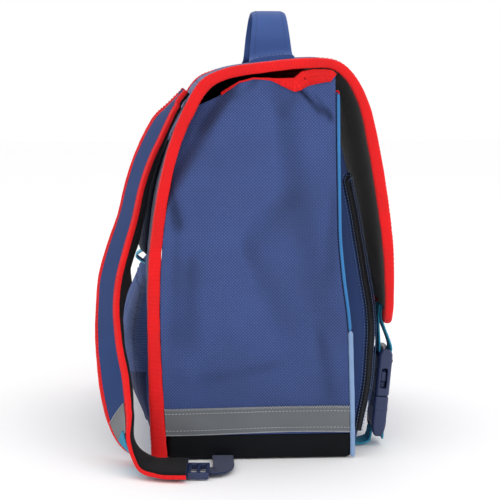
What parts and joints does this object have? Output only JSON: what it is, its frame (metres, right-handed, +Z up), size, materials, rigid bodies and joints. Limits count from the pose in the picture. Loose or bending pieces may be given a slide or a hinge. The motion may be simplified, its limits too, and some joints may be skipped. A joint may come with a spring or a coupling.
{
  "type": "school ransel backpack",
  "caption": "Boxy child's school backpack with a full-width flap, a zipped front pocket, a carrying handle, padded back and shoulder straps with ladder locks",
  "frame": {"origin": "centre of the base's underside, on the surface the bag stands on", "axes": "+Z up, +Y out of the back where the shoulder straps are, -Y the front with flap and buckles, X across the bag"},
  "size_m": [0.442, 0.2934, 0.4308],
  "materials": {
    "panel_fabric": "matte coarse weave",
    "smooth_fabric": "matte fine weave",
    "pocket_fabric": "matte fine weave",
    "red_tape": "matte ribbed tape",
    "dark_mesh": "matte open mesh",
    "ribbed_mesh": "matte ribbed mesh",
    "reflective": "satin reflective",
    "base_sheet": "satin coated",
    "sky_piping": "matte",
    "pale_piping": "matte",
    "webbing": "matte ribbed webbing",
    "pale_webbing": "matte ribbed webbing",
    "buckle_plastic": "satin moulded",
    "zip_tape": "matte"
  },
  "bodies": {
    "root": {"back_panel": "panel_fabric", "flap": "panel_fabric", "edge_binding": "red_tape", "front_panel": "panel_fabric", "front_hem": "red_tape", "base": "base_sheet", "front_pocket": "pocket_fabric", "pocket_zipper_top": "zip_tape", "handle": "smooth_fabric", "back_pad_upper": "dark_mesh", "back_pad_lower": "ribbed_mesh", "back_loop": "pale_webbing", "side_panel_left": "panel_fabric", "side_panel_right": "panel_fabric", "side_hem_left": "red_tape", "side_hem_right": "red_tape", "reflective_band_left": "reflective", "reflective_band_right": "reflective", "piping_upper_left": "sky_piping", "piping_upper_right": "sky_piping", "piping_lower_left": "pale_piping", "piping_lower_right": "pale_piping", "pocket_zipper_left": "zip_tape", "pocket_zipper_right": "zip_tape", "flap_webbing_left": "webbing", "flap_webbing_right": "webbing", "buckle_upper_left": "buckle_plastic", "buckle_upper_right": "buckle_plastic", "buckle_lower_left": "buckle_plastic", "buckle_lower_right": "buckle_plastic", "front_webbing_left": "webbing", "front_webbing_right": "webbing", "shoulder_strap_left": "smooth_fabric", "shoulder_strap_right": "smooth_fabric", "strap_binding_inner_left": "red_tape", "strap_binding_inner_right": "red_tape", "strap_binding_outer_left": "red_tape", "strap_binding_outer_right": "red_tape", "strap_reflector_left": "reflective", "strap_reflector_right": "reflective", "strap_webbing_left": "webbing", "strap_webbing_right": "webbing", "ladder_lock_left": "buckle_plastic", "ladder_lock_right": "buckle_plastic", "anchor_webbing_left": "webbing", "anchor_webbing_right": "webbing"}
  },
  "joints": []
}
